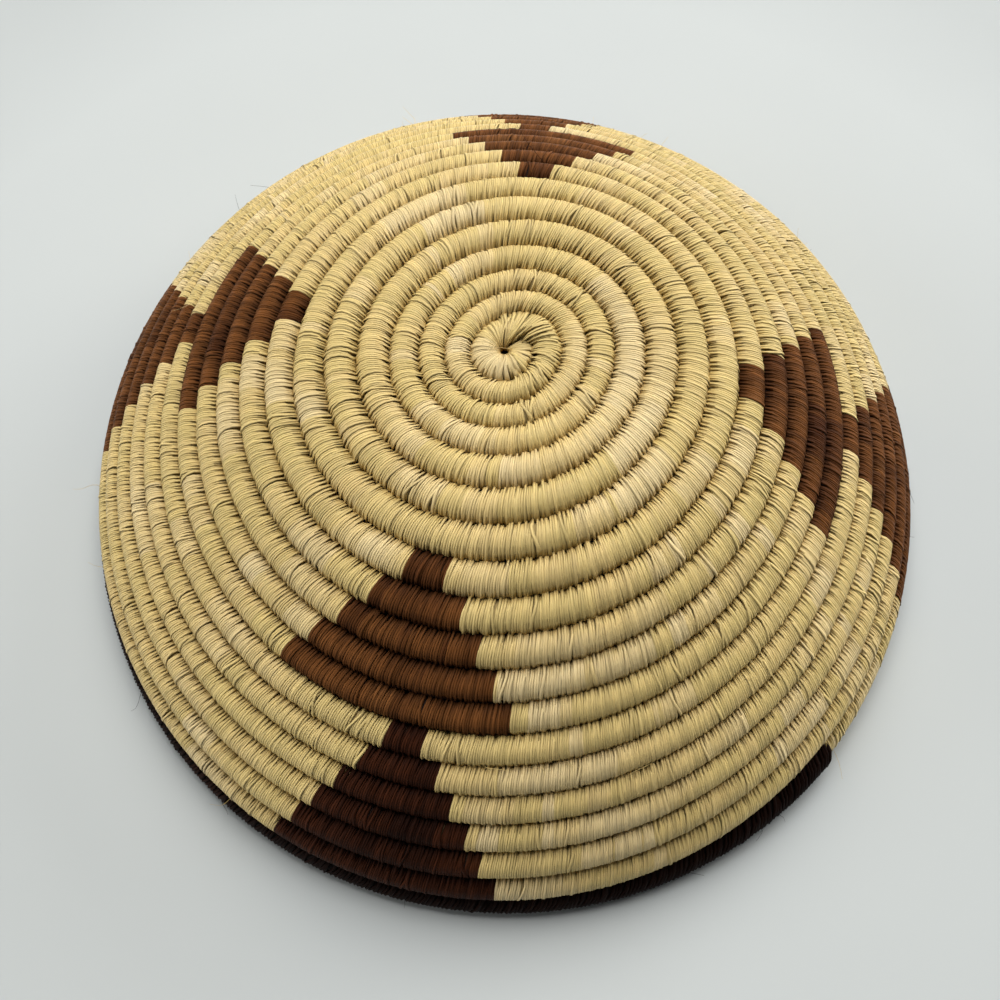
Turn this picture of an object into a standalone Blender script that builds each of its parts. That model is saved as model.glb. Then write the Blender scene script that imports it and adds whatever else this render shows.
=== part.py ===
"""Coiled basket bowl, lying upside down on its rim.

One bundle of grass winds outward in a flat spiral, clockwise as seen from above,
and then down the wall to the rim. Strands wrap it all along: pale ones on the
base and the wall, brown ones in the stepped rows of four motifs, and dark ones
on the thin last round. Millimetres times MM give metres. +Z is up, the rim
lies on z = 0 and the base is on top.
"""
import math

import bpy
import numpy as np

MM = 0.001

# Rounds of the coil, counted from the centre
BUNDLE_START = 0.5
BASE_ROUNDS = 7.0
UPPER_ROWS = 5
LOWER_ROWS = 6
RIM_START_PAST_MOTIFS = 0.372
RIM_ROUND_LENGTH = 0.975

# Sizes of the coil
COIL_WIDTH = 10.0 * MM
CENTRE_HOLE_RADIUS = 1.0 * MM
RIM_END_WIDTH = 4.8 * MM
COIL_THICKNESS_PER_WIDTH = 0.94
ROUND_GAP = 0.6 * MM
WRAP_THICKNESS = 0.9 * MM
BUNDLE_CLEARANCE = 0.3 * MM
WRAP_END_GAP = 0.3 * MM
TIE_BITE = 0.5 * MM
TIE_RISE = 0.7 * MM
TIE_END_MARGIN = 2.0 * MM

# Round number and how wide a round is there, as a share of the coil's usual width
WIDTH_SHARES = (
    (0.0, 0.92),
    (1.2, 0.77),
    (3.0, 0.78),
    (4.5, 0.96),
    (6.0, 1.00),
    (8.0, 0.99),
    (12.0, 0.92),
    (15.0, 0.87),
    (19.2, 1.13),
)

# Shape of the bowl
BASE_EDGE_ROUND = 4.5
BASE_REST_RISE = 4.2 * MM
OVALITY = 0.033
RIM_LEVELLING = 0.48
# The rounds lie off their even spiral by up to this much of a round, once and
# twice about, most of all in these directions. The rim is level.
COIL_SHIFT = 0.25
COIL_SHIFT_DIRECTION = 267.6
COIL_OVAL = 0.155
COIL_OVAL_DIRECTION = 48.9
RIM_FADE_POWER = 8
# share of the way from the base's edge to the rim, and the slope there in degrees
WALL_SLOPES = (
    (0.0, 0.0),
    (0.10, 13.0),
    (0.24, 24.0),
    (0.38, 36.0),
    (0.58, 37.0),
    (0.72, 45.0),
    (0.86, 56.0),
    (1.0, 90.0),
)

# Motifs: how far their first row lies into its round, then each one's upper and
# lower triangle with the direction of its middle, in degrees from +X towards +Y,
# and the width of its rows as a share of the usual one
MOTIFS = ("right", "front", "left", "back")
MOTIF_MIDDLE_IN_ROUND = 0.91
UPPER_TRIANGLES = {
    "right": (355.9, 1.09),
    "front": (253.6, 1.03),
    "left": (168.3, 0.95),
    "back": (85.4, 0.97),
}
LOWER_TRIANGLES = {
    "right": (356.4, 1.14),
    "front": (257.0, 0.96),
    "left": (168.5, 0.98),
    "back": (87.2, 0.95),
}
UPPER_FIRST_ROW_WIDTH = 11.0 * MM
UPPER_ROW_GROWTH = 13.8 * MM
LOWER_FIRST_ROW_WIDTH = 11.5 * MM
LOWER_ROW_GROWTH = 12.0 * MM

# Fineness of the mesh
STEPS_PER_ROUND = 20
PROFILE_STEPS = 2000
SMALL = 1e-6

FULL_TURN = 2.0 * math.pi
ONE_ROUND = 1.0
HALF_ROUND = 0.5
START_DIRECTION = math.radians(90.0)
MOTIF_ROWS = UPPER_ROWS + LOWER_ROWS
RIM_START = BASE_ROUNDS + MOTIF_ROWS + RIM_START_PAST_MOTIFS
COIL_END = RIM_START + RIM_ROUND_LENGTH

NATURAL = (0.72, 0.53, 0.27, 1.0)
BROWN = (0.115, 0.042, 0.022, 1.0)
DARK_BROWN = (0.055, 0.022, 0.014, 1.0)
GRASS = (0.55, 0.45, 0.25, 1.0)
WRAP_ROUGHNESS = 0.75
GRASS_ROUGHNESS = 0.9


def direction_of(turn):
    """Direction of a place on the coil, which winds clockwise."""
    return START_DIRECTION - FULL_TURN * turn


def turn_nearest(direction, turn):
    """Turn at which the coil passes a direction, nearest to a given turn."""
    fraction = (START_DIRECTION - direction) / FULL_TURN
    return fraction + round(turn - fraction)


def rim_wave(turn):
    """Soft step of the coil line, up before the rim's start and down after it."""
    after_start = FULL_TURN * (turn - RIM_START)
    return sum(math.sin(n * after_start) / n for n in (1, 2, 3)) / math.pi


def sway(turn):
    """How far the rounds lie off their even spiral in the direction of a turn."""
    direction = direction_of(turn)
    once = math.cos(direction - math.radians(COIL_SHIFT_DIRECTION))
    twice = math.cos(2.0 * (direction - math.radians(COIL_OVAL_DIRECTION)))
    return COIL_SHIFT * once + COIL_OVAL * twice


def free_edge(turn):
    """Outer edge of the round at a turn, in rounds from the centre, with no rim."""
    reach = max(turn - BASE_ROUNDS, 0.0) / (RIM_START - BASE_ROUNDS)
    level = RIM_LEVELLING * reach ** 2 * rim_wave(turn)
    share = min(max(turn + HALF_ROUND, 0.0), 1.0) * (1.0 - min(reach, 1.0) ** RIM_FADE_POWER)
    return turn + HALF_ROUND + level + sway(turn) * share


RIM_EDGE = free_edge(COIL_END - ONE_ROUND) + RIM_END_WIDTH / (COIL_WIDTH * WIDTH_SHARES[-1][1])


def outer_edge(turn):
    """Outer edge of the round at a turn. The last round ends level, at the rim."""
    if turn > RIM_START - HALF_ROUND:
        return RIM_EDGE if turn > RIM_START else min(free_edge(turn), RIM_EDGE)
    return max(free_edge(turn), 0.0)


def inner_edge(turn):
    """Inner edge of the round at a turn, which is its neighbour's outer edge."""
    return outer_edge(turn - ONE_ROUND)


def wall_profile():
    """Radius and height of the bowl's middle surface against the round number."""
    rounds = np.linspace(0.0, RIM_EDGE, PROFILE_STEPS)
    step = rounds[1] - rounds[0]
    places, shares_of_width = np.array(WIDTH_SHARES).T
    widths = np.interp(rounds, places, shares_of_width) * COIL_WIDTH
    lengths = np.cumsum(widths) * step
    base_edge = np.interp(BASE_EDGE_ROUND, rounds, lengths)
    shares, slopes = np.array(WALL_SLOPES).T
    corners = base_edge + shares * (lengths[-1] - base_edge)
    slope = np.interp(lengths, corners, np.radians(slopes))
    radii = np.cumsum(widths * np.cos(slope)) * step
    drops = np.cumsum(widths * np.sin(slope)) * step
    return rounds, radii - radii[0] + CENTRE_HOLE_RADIUS, drops[-1] - drops


PROFILE_ROUNDS, PROFILE_RADII, PROFILE_HEIGHTS = wall_profile()
BASE_REST_HEIGHT = PROFILE_HEIGHTS[0] + BASE_REST_RISE


def profile_point(rounds, direction):
    """Radius and height on the bowl's middle surface, which is slightly oval."""
    radius = np.interp(rounds, PROFILE_ROUNDS, PROFILE_RADII)
    height = np.interp(rounds, PROFILE_ROUNDS, PROFILE_HEIGHTS)
    oval = 1.0 - OVALITY * (rounds / RIM_EDGE) * math.cos(2.0 * direction)
    return np.array((radius * oval, height))


def section_frame(turn):
    """Middle, across and outward directions and half width of the coil's section."""
    direction = direction_of(turn)
    inner = profile_point(inner_edge(turn), direction)
    outer = profile_point(outer_edge(turn), direction)
    width = math.dist(inner, outer)
    across = (outer - inner) / width
    outward = np.array((-across[1], across[0]))
    return (inner + outer) / 2.0, across, outward, width / 2.0


def ring(turn, corners, trim):
    """Closed ring of points round the coil at one turn.

    Each corner is a share of the half width and of the half thickness. The ring
    is trimmed by a distance on every side, and flat where the base stands.
    """
    middle, across, outward, half_width = section_frame(turn)
    half_thickness = half_width * COIL_THICKNESS_PER_WIDTH
    reach = half_width - trim
    rise = half_thickness - trim
    direction = direction_of(turn)
    points = []
    for along_wall, off_wall in corners:
        radius, height = middle + across * along_wall * reach + outward * off_wall * rise
        height = min(height, BASE_REST_HEIGHT - trim)
        points.append((radius * math.cos(direction), radius * math.sin(direction), height))
    return np.array(points)


# Sections: flat on top and pointed at the neighbours, the same turned, and the bundle's
WRAP_CORNERS = ((1.0, 0.0), (0.5, 1.0), (-0.5, 1.0), (-1.0, 0.0), (-0.5, -1.0), (0.5, -1.0))
RIM_CORNERS = ((1.0, 0.5), (0.0, 1.0), (-1.0, 0.5), (-1.0, -0.5), (0.0, -1.0), (1.0, -0.5))
BUNDLE_CORNERS = ((1.0, 0.0), (0.0, 1.0), (-1.0, 0.0), (0.0, -1.0))
BORE_TRIM = ROUND_GAP / 2.0 + WRAP_THICKNESS
BUNDLE_TRIM = BORE_TRIM + BUNDLE_CLEARANCE * math.sqrt(2.0)
TIE_REACH = ROUND_GAP / 2.0 + TIE_BITE


def on_facets(turn, ring_at):
    """Ring on the straight run between the two mesh steps on either side of a turn."""
    step = 1.0 / STEPS_PER_ROUND
    before = math.floor(turn / step + SMALL) * step
    share = (turn - before) / step
    near = ring_at(before)
    if share < SMALL:
        return near
    return near * (1.0 - share) + ring_at(before + step) * share


def faceted_ring(turn, corners, trim):
    return on_facets(turn, lambda place: ring(place, corners, trim))


def tie_ring(turn):
    """Ring of the tie that joins the round at a turn to the next one outward."""
    direction = direction_of(turn)
    before = section_frame(turn)[0]
    after = section_frame(turn + ONE_ROUND)[0]
    across = (after - before) / math.dist(before, after)
    outward = np.array((-across[1], across[0]))
    middle = profile_point(outer_edge(turn), direction)
    points = []
    for along_wall, off_wall in ((1.0, 1.0), (-1.0, 1.0), (-1.0, -1.0), (1.0, -1.0)):
        place = middle + across * along_wall * TIE_REACH + outward * off_wall * TIE_RISE
        points.append((place[0] * math.cos(direction), place[0] * math.sin(direction), place[1]))
    return np.array(points)


def stations(start, end):
    """Turns at which a stretch of coil has a ring: its ends and the steps between."""
    first = math.floor(start * STEPS_PER_ROUND + 1.0 + SMALL)
    last = math.ceil(end * STEPS_PER_ROUND - 1.0 - SMALL)
    between = [n / STEPS_PER_ROUND for n in range(first, last + 1)]
    return [start] + between + [end]


def turns_for(length, turn):
    """How much of a turn a length along the coil takes."""
    middle = section_frame(turn)[0]
    return length / (FULL_TURN * middle[0])


def skin(rings, inward=False):
    """Faces of a tube through rings of points, numbered ring by ring."""
    sides = len(rings[0])
    faces = []
    for row in range(len(rings) - 1):
        for side in range(sides):
            after = (side + 1) % sides
            a, b = row * sides + side, row * sides + after
            c, d = b + sides, a + sides
            faces.append((a, d, c, b) if inward else (a, b, c, d))
    return faces


class Solid:
    """Points and faces of one object, gathered stretch by stretch."""

    def __init__(self):
        self.points = []
        self.faces = []

    def add(self, rings, faces):
        offset = len(self.points)
        for one in rings:
            self.points.extend(one.tolist())
        self.faces.extend(tuple(offset + index for index in face) for face in faces)
        return offset


def add_rod(solid, rings):
    """Solid rod through rings, with a flat face at each end."""
    sides = len(rings[0])
    last = (len(rings) - 1) * sides
    ends = [tuple(reversed(range(sides))), tuple(range(last, last + sides))]
    solid.add(rings, skin(rings) + ends)


def end_faces(outside, inside, outside_sides, inside_sides, flip):
    """Triangles between the outer and the inner ring at a sleeve's open end."""
    faces = []
    outer = 0
    inner = 0
    while outer < outside_sides or inner < inside_sides:
        step_outer = (outer + 1) / outside_sides <= (inner + 1) / inside_sides
        a = outside + outer % outside_sides
        b = inside + inner % inside_sides
        if step_outer:
            outer += 1
            face = (a, b, outside + outer % outside_sides)
        else:
            inner += 1
            face = (a, b, inside + inner % inside_sides)
        faces.append(tuple(reversed(face)) if flip else face)
    return faces


def add_sleeve(solid, outer_rings, bore_rings):
    """Hollow sleeve, open at both ends."""
    outside = solid.add(outer_rings, skin(outer_rings))
    inside = solid.add(bore_rings, skin(bore_rings, inward=True))
    sides = len(outer_rings[0])
    bore_sides = len(bore_rings[0])
    far_outside = outside + (len(outer_rings) - 1) * sides
    far_inside = inside + (len(bore_rings) - 1) * bore_sides
    solid.faces.extend(end_faces(outside, inside, sides, bore_sides, False))
    solid.faces.extend(end_faces(far_outside, far_inside, sides, bore_sides, True))


def wrap_stretch(solid, start, end, corners=WRAP_CORNERS, level=False):
    """Sleeve of wrapping from one turn to another, short of its neighbours."""
    start += turns_for(WRAP_END_GAP / 2.0, start)
    end -= turns_for(WRAP_END_GAP / 2.0, end)
    turns = stations(start, end)
    outer_rings = [faceted_ring(turn, corners, ROUND_GAP / 2.0) for turn in turns]
    if level:
        stand_level(outer_rings)
    bore_rings = [faceted_ring(turn, BUNDLE_CORNERS, BORE_TRIM) for turn in turns]
    add_sleeve(solid, outer_rings, bore_rings)


def stand_level(rings):
    """Press the lowest side of each ring flat on z = 0."""
    for one in rings:
        lowest = np.argsort(one[:, 2])[:2]
        one[lowest, 2] = 0.0


def material(name, colour, roughness):
    made = bpy.data.materials.new(name)
    made.use_nodes = True
    shader = made.node_tree.nodes["Principled BSDF"]
    shader.inputs["Base Color"].default_value = colour
    shader.inputs["Roughness"].default_value = roughness
    shader.inputs["Metallic"].default_value = 0.0
    made.diffuse_color = colour
    return made


def make_object(name, solid, colour, roughness=WRAP_ROUGHNESS):
    mesh = bpy.data.meshes.new(name)
    mesh.from_pydata(solid.points, [], solid.faces)
    mesh.update()
    mesh.materials.append(material(name, colour, roughness))
    made = bpy.data.objects.new(name, mesh)
    bpy.context.scene.collection.objects.link(made)
    return made


def brown_row(motif, row):
    """Direction of a brown row's middle and its width, rows counted from 1 at the top."""
    if row <= UPPER_ROWS:
        degrees, share = UPPER_TRIANGLES[motif]
        width = UPPER_FIRST_ROW_WIDTH + UPPER_ROW_GROWTH * (row - 1)
    else:
        degrees, share = LOWER_TRIANGLES[motif]
        width = LOWER_FIRST_ROW_WIDTH + LOWER_ROW_GROWTH * (row - 1 - UPPER_ROWS)
    return math.radians(degrees), share * width


def brown_runs():
    """Every brown run as its motif, row, start turn and end turn, in coil order."""
    runs = []
    for row in range(1, MOTIF_ROWS + 1):
        for motif in MOTIFS:
            direction, width = brown_row(motif, row)
            about = BASE_ROUNDS + row - 1 + MOTIF_MIDDLE_IN_ROUND
            middle = turn_nearest(direction, about)
            half = turns_for(width / 2.0, middle)
            runs.append((motif, row, middle - half, middle + half))
    return sorted(runs, key=lambda run: run[2])


def make_foundation():
    """The grass bundle: one unbroken spiral from the centre to the rim's end."""
    solid = Solid()
    turns = stations(BUNDLE_START, COIL_END - turns_for(WRAP_END_GAP, COIL_END))
    add_rod(solid, [faceted_ring(turn, BUNDLE_CORNERS, BUNDLE_TRIM) for turn in turns])
    return make_object("foundation_coil", solid, GRASS, GRASS_ROUGHNESS)


def make_base_wrap(first_run):
    solid = Solid()
    wrap_stretch(solid, BUNDLE_START, first_run[2])
    return make_object("base_wrap", solid, NATURAL)


def hide_operand(made):
    made.hide_render = True
    made.display_type = "WIRE"


def make_tie(name, upper, lower):
    """Stitches of one brown row that bite into the row before it."""
    margin = turns_for(TIE_END_MARGIN, upper[2])
    start = max(upper[2], lower[2] - ONE_ROUND) + margin
    end = min(upper[3], lower[3] - ONE_ROUND) - margin
    solid = Solid()
    add_rod(solid, [on_facets(turn, tie_ring) for turn in stations(start, end)])
    return make_object(name, solid, BROWN)


def make_motif_part(name, runs):
    """Brown rows of one stepped triangle, joined where their stitches meet."""
    pieces = bpy.data.collections.new(name + "_rows")
    made = None
    for place, run in enumerate(runs):
        solid = Solid()
        wrap_stretch(solid, run[2], run[3])
        if made is None:
            made = make_object(name, solid, BROWN)
            continue
        for piece in (make_object(f"{name}_row_{place + 1}", solid, BROWN),
                      make_tie(f"{name}_tie_{place}", runs[place - 1], run)):
            hide_operand(piece)
            pieces.objects.link(piece)
    union = made.modifiers.new("join rows", "BOOLEAN")
    union.operation = "UNION"
    union.solver = "EXACT"
    union.operand_type = "COLLECTION"
    union.collection = pieces
    return made


def make_wall_wrap(run, next_start):
    """The pale stretch that follows a brown run, up to the next one."""
    solid = Solid()
    wrap_stretch(solid, run[3], next_start)
    return make_object(f"wall_wrap_{run[0]}_{run[1]:02d}", solid, NATURAL)


def make_rim_wrap():
    solid = Solid()
    wrap_stretch(solid, RIM_START, COIL_END, RIM_CORNERS, level=True)
    return make_object("rim_wrap", solid, DARK_BROWN)


def least_gap_between_rounds():
    """Least distance between each round's points and the next round's surface."""
    least = math.inf
    steps = int((COIL_END - ONE_ROUND - BUNDLE_START) * STEPS_PER_ROUND)
    for step in range(steps):
        turn = BUNDLE_START + step / STEPS_PER_ROUND
        mine = ring(turn, WRAP_CORNERS, ROUND_GAP / 2.0)
        next_turn = turn + ONE_ROUND
        corners = RIM_CORNERS if next_turn > RIM_START else WRAP_CORNERS
        theirs = ring(next_turn, corners, ROUND_GAP / 2.0)
        for point in mine:
            for side in range(len(theirs)):
                start, end = theirs[side], theirs[(side + 1) % len(theirs)]
                run = end - start
                share = np.clip(np.dot(point - start, run) / np.dot(run, run), 0.0, 1.0)
                least = min(least, np.linalg.norm(point - start - share * run))
    return least


def clear_scene():
    for old in list(bpy.data.objects):
        bpy.data.objects.remove(old, do_unlink=True)


def build():
    clear_scene()
    runs = brown_runs()
    make_foundation()
    make_base_wrap(runs[0])
    for motif in MOTIFS:
        rows = [run for run in runs if run[0] == motif]
        make_motif_part(f"{motif}_motif_upper", rows[:UPPER_ROWS])
        make_motif_part(f"{motif}_motif_lower", rows[UPPER_ROWS:])
    next_starts = [run[2] for run in runs[1:]] + [RIM_START]
    for run, next_start in zip(runs, next_starts):
        make_wall_wrap(run, next_start)
    make_rim_wrap()
    print("least gap between rounds, mm:", round(least_gap_between_rounds() / MM, 3))


build()
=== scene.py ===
"""Looks of the coiled basket bowl, lying upside down on its rim.

Plant strands are wound round the coil one by one, pale ones on the base and the
wall, brown ones in the stepped motifs and dark ones on the rim. The coil follows
the same spiral and the same wall profile as the solids of the frame.
"""
import math
from itertools import product

import bpy
import numpy as np
from bpy.props import FloatProperty, FloatVectorProperty, IntProperty, PointerProperty
from bpy.types import Operator, Panel, PropertyGroup
from mathutils import Matrix, Vector


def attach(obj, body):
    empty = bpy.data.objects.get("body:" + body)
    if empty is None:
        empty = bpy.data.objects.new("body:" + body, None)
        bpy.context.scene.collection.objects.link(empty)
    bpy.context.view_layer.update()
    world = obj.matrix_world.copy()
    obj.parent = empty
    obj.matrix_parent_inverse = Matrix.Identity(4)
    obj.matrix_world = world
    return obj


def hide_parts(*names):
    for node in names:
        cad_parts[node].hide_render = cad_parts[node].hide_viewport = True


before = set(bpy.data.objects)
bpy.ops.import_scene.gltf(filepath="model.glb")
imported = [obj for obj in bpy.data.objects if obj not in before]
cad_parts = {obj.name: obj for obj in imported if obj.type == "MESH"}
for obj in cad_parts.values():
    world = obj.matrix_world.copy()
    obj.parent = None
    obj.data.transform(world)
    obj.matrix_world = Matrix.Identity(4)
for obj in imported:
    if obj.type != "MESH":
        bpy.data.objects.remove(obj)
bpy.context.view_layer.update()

bl_info = {
    "name": "Coiled Basket Bowl",
    "version": (1, 0, 0),
    "blender": (4, 5, 0),
    "location": "View3D > Sidebar > Basket",
    "description": "Winds a coiled basket bowl strand by strand and lights it",
    "category": "Add Mesh",
}

FULL_TURN = 2.0 * math.pi
QUARTER_TURN = math.pi / 2.0
PROFILE_STEPS = 2000
COIL_STEPS_PER_ROUND = 400
# round number and how wide a round is there, as a share of the coil's usual width
WIDTH_SHARES = (
    (0.0, 0.92), (1.2, 0.77), (3.0, 0.78), (4.5, 0.96), (6.0, 1.00), (8.0, 0.99),
    (12.0, 0.92), (15.0, 0.87), (19.2, 1.13),
)
# share of the way from the base's edge to the rim, and the wall's slope there in degrees
WALL_SLOPES = (
    (0.0, 0.0), (0.10, 13.0), (0.24, 24.0), (0.38, 36.0), (0.58, 37.0), (0.72, 45.0),
    (0.86, 56.0), (1.0, 90.0),
)
MOTIFS = ("right", "front", "left", "back")
# painted shade: the triangle low on the front wall, which faces away from the lamps, gets its
# brown painted darker
SHADED_FRONT_TRIANGLE = ("front", "lower")
# how many strands draw together: a count that is named more often comes more often
GROUP_SIZES = (1, 1, 1, 2, 3)
# sizes that the strand tree reads by these names
WOUND_BY = ("loop_points", "width", "rise", "lean", "bow", "bite", "reach", "gather", "taper")
# least and most of what differs from strand to strand
STRAND_SHARES = {
    "width_share": (0.82, 1.22), "rise_share": (0.75, 1.25), "lean_share": (-1.0, 1.0),
}
UNEVEN_SPACING = 0.12
SPLICE_CHANCE = 0.07
# how far strands bite and reach: usually, more or less by groups, and at random
BITES = (0.80, 0.55, 0.50)
REACHES = (0.30, 0.50, 0.45)
# some strands stray, more of them near the middle, and stand out further than the rest
STRAY_SHARE = 0.05
STRAY_SHARE_NEAR_MIDDLE = 0.13
STRAY_DISTANCE = 0.0008
STRAY_HEIGHT = 0.00022
UNEVEN_HEIGHT = 0.00007
# what is uneven near the middle fades out between these turns
MIDDLE_FADE = (1.3, 1.6)
UNEVEN_TURNS = 0.018
CLOSER_WOUND_UNTIL = 1.2
# least heights over the floor
LOWEST_STRAND = 0.00015
LOWEST_GRASS = 0.0004
LOWEST_FIBRE = 0.0003
FIBRE_POINTS = 9
# where on a round's section loose fibres start, in radians from its outer edge
FIBRE_RISES = (0.35, 2.75)
LEAN_UNEVEN = 0.45
# how square a strand's way round the bundle is: 2 is round, more is squarer
SQUARENESS = 2.2
# each lamp's direction round the bowl and height over the floor, in degrees
LAMPS = {"left": (182.0, 12.0), "right": (42.0, 12.0), "back": (90.0, 62.0)}
FLOOR_SIDE = 6.0
FLOOR_CORNERS = ((-1, -1), (1, -1), (1, 1), (-1, 1))
CELL_MARGIN = 0.06
BAKE_MAP = "OFBake"


def setting(kind, **details):
    """A maker of properties of one kind."""

    def made(name, description, default):
        return kind(name=name, description=description, default=default, **details)

    return made


length = setting(FloatProperty, unit="LENGTH")
number = setting(FloatProperty)
whole = setting(IntProperty)
share = setting(FloatProperty, subtype="FACTOR", min=0.0, max=1.0)
power = setting(FloatProperty, unit="POWER")
colour = setting(FloatVectorProperty, subtype="COLOR", size=3, min=0.0, max=1.0)
shift = setting(FloatVectorProperty, subtype="TRANSLATION", unit="LENGTH")
# one value for each motif, in the order of MOTIFS
four_angles = setting(FloatVectorProperty, size=4, unit="ROTATION")
four_shares = setting(FloatVectorProperty, size=4)


def angle(name, description, degrees):
    return FloatProperty(
        name=name, description=description, default=math.radians(degrees), subtype="ANGLE"
    )


def radians(*degrees):
    return [math.radians(part) for part in degrees]


class CoilShape(PropertyGroup):
    """Sizes of the coil and of the bowl that it makes."""

    coil_width: length("Coil width", "Usual width of a round", 0.010)
    hole_radius: length("Hole radius", "Radius of the hole that the coil starts at", 0.0012)
    hole_shift: shift("Hole shift", "From the coil's middle to the hole", (-0.0020, -0.0017, 0.0))
    hole_reach: length("Hole reach", "Radius inside which the coil leans towards the hole", 0.012)
    rim_end_width: length("Rim end width", "Width of the last round where it ends", 0.0048)
    thickness_share: share("Thickness share", "Thickness of a round as a share of its width", 0.94)
    base_rounds: number("Base rounds", "Rounds inside the first row of the motifs", 7.0)
    base_edge_round: number("Base edge round", "Round at which the wall starts to fall", 4.5)
    coil_start: number("Coil start", "Turn at which the coil starts", 0.12)
    ovality: share("Ovality", "How much narrower than round the bowl is along X", 0.033)
    rim_start_past_motifs: number("Rim start", "Rounds from the motifs to the rim's start", 0.372)
    rim_round_length: number("Rim length", "Length of the rim in rounds", 0.975)
    rim_levelling: number("Rim levelling", "How far the coil line bends to end level", 0.48)
    rim_fade_power: number("Rim fade", "How near the rim the rounds turn level", 8.0)
    sideways: number("Coil shift", "How far the rounds lie off to one side, in rounds", 0.25)
    sideways_direction: angle("Shift direction", "Direction of that side", 267.6)
    oval: number("Coil oval", "How oval the rounds' spacing is, in rounds", 0.155)
    oval_direction: angle("Oval direction", "Direction of the wider spacing", 48.9)


class MotifPattern(PropertyGroup):
    """The four stepped motifs, each of an upper and a lower triangle."""

    upper_directions: four_angles(
        "Upper directions", "Where the upper triangles are", radians(355.9, 253.6, 168.3, 85.4)
    )
    lower_directions: four_angles(
        "Lower directions", "Where the lower triangles are", radians(356.4, 257.0, 168.5, 87.2)
    )
    upper_shares: four_shares(
        "Upper shares", "The upper triangles' widths against usual ones", (1.09, 1.03, 0.95, 0.97)
    )
    lower_shares: four_shares(
        "Lower shares", "The lower triangles' widths against usual ones", (1.14, 0.96, 0.98, 0.95)
    )
    upper_rows: whole("Upper rows", "Rows of the upper triangle", 5)
    lower_rows: whole("Lower rows", "Rows of the lower triangle", 6)
    upper_first: length("Upper first row", "Width of the upper triangle's first row", 0.011)
    upper_growth: length("Upper growth", "How much wider each next upper row is", 0.0138)
    lower_first: length("Lower first row", "Width of the lower triangle's first row", 0.0115)
    lower_growth: length("Lower growth", "How much wider each next lower row is", 0.012)
    middle_in_round: share("Middle in round", "How far the first row lies into its round", 0.91)


class StrandSizes(PropertyGroup):
    """How the strands are wound round the bundle."""

    spacing: length("Spacing", "Distance between neighbouring strands", 0.00068)
    centre_spacing: length("Centre spacing", "The same on the first round", 0.00054)
    width: length("Width", "Width of a strand", 0.00096)
    rise: length("Rise", "Height of a strand's crest", 0.00007)
    lean: length("Lean", "How far a strand runs sideways from groove to groove", 0.0008)
    bow: length("Bow", "How far a strand arches sideways on top of its round", 0.0006)
    bite: length("Bite", "How far a strand usually reaches over the round before it", 0.0007)
    reach: length("Reach", "How far a strand usually reaches over the round after it", 0.0004)
    gather: share("Gather", "How much groups of strands draw together in the grooves", 0.13)
    taper: share("Taper", "How much narrower a strand is in the grooves", 0.10)
    loop_points: whole("Loop points", "Points of one wound strand", 14)
    seed: whole("Seed", "Seed of everything random in the strands", 11)
    rim_spacing: length("Rim spacing", "Distance between strands on the rim", 0.00125)
    rim_width: length("Rim width", "Width of a strand on the rim", 0.00150)
    rim_rise: length("Rim rise", "Height of a rim strand's crest", 0.00030)
    rim_lean: length("Rim lean", "How far a rim strand slants", 0.0034)


class FibreSizes(PropertyGroup):
    """Loose fibres that stand off the strands."""

    pale_count: whole("Pale fibres", "How many pale fibres", 230)
    dark_count: whole("Dark fibres", "How many dark fibres", 70)
    pale_length: length("Pale length", "Usual length of a pale fibre", 0.0045)
    dark_length: length("Dark length", "Usual length of a dark fibre", 0.0045)
    thickness: length("Thickness", "Thickness of a fibre", 0.00019)
    seed: whole("Seed", "Seed of the fibres' places and curls", 5)


class BasketColours(PropertyGroup):
    """Colours of the plant fibre, and the painted shade in its grooves."""

    straw: colour("Straw", "Most of the pale strands", (0.800, 0.595, 0.245))
    light_straw: colour("Light straw", "The palest strands", (0.880, 0.690, 0.360))
    green_straw: colour("Green straw", "Strands that kept a green cast", (0.770, 0.585, 0.225))
    pink_straw: colour("Pink straw", "Strands with a reddish cast", (0.800, 0.570, 0.255))
    old_straw: colour("Old straw", "The darkest pale strands", (0.690, 0.475, 0.175))
    # painted shade: near the grooves the pale strands are mixed towards this colour, where shade
    # falls between the rounds
    groove: colour("Groove", "Pale strands deep in a groove", (0.470, 0.295, 0.075))
    brown: colour("Brown", "Most of the brown strands", (0.185, 0.068, 0.019))
    light_brown: colour("Light brown", "Brown strands that took less dye", (0.340, 0.145, 0.046))
    dark_brown: colour("Dark brown", "The darkest brown strands", (0.052, 0.015, 0.006))
    rim: colour("Rim", "Strands of the rim", (0.014, 0.005, 0.003))
    bundle: colour("Bundle", "Grass inside the coil", (0.540, 0.385, 0.150))


class StudioSettings(PropertyGroup):
    """Floor, light and camera."""

    floor: colour("Floor", "Colour of the floor", (0.622, 0.650, 0.634))
    floor_light: number("Floor light", "Brightness of the lit floor against its colour", 1.08)
    left_power: power("Left power", "Power of the low lamp on the left", 45.0)
    right_power: power("Right power", "Power of the low lamp behind on the right", 76.0)
    back_power: power("Back power", "Power of the high lamp behind", 99.0)
    lamp_size: length("Lamp size", "Side of the square lamps", 2.6)
    lamp_distance: length("Lamp distance", "How far the lamps stand from the bowl", 3.0)
    sky: number("Sky", "Strength of the light from all around", 0.035)
    camera_distance: length("Camera distance", "From the middle of the base", 0.3317)
    camera_elevation: angle("Camera elevation", "Height of the camera over the base", 57.70)
    camera_roll: angle("Camera roll", "Roll of the camera", -2.063)
    aim_right: angle("Aim right", "How far right of the picture's middle the base lies", -0.084)
    aim_up: angle("Aim up", "How far above the picture's middle the base lies", 8.784)
    lens: number("Lens", "Focal length in millimetres on a 36 mm sensor", 39.74)
    shift_x: number("Shift X", "Camera shift to the right", -0.00605)
    shift_y: number("Shift Y", "Camera shift upwards", 0.01925)


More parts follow.
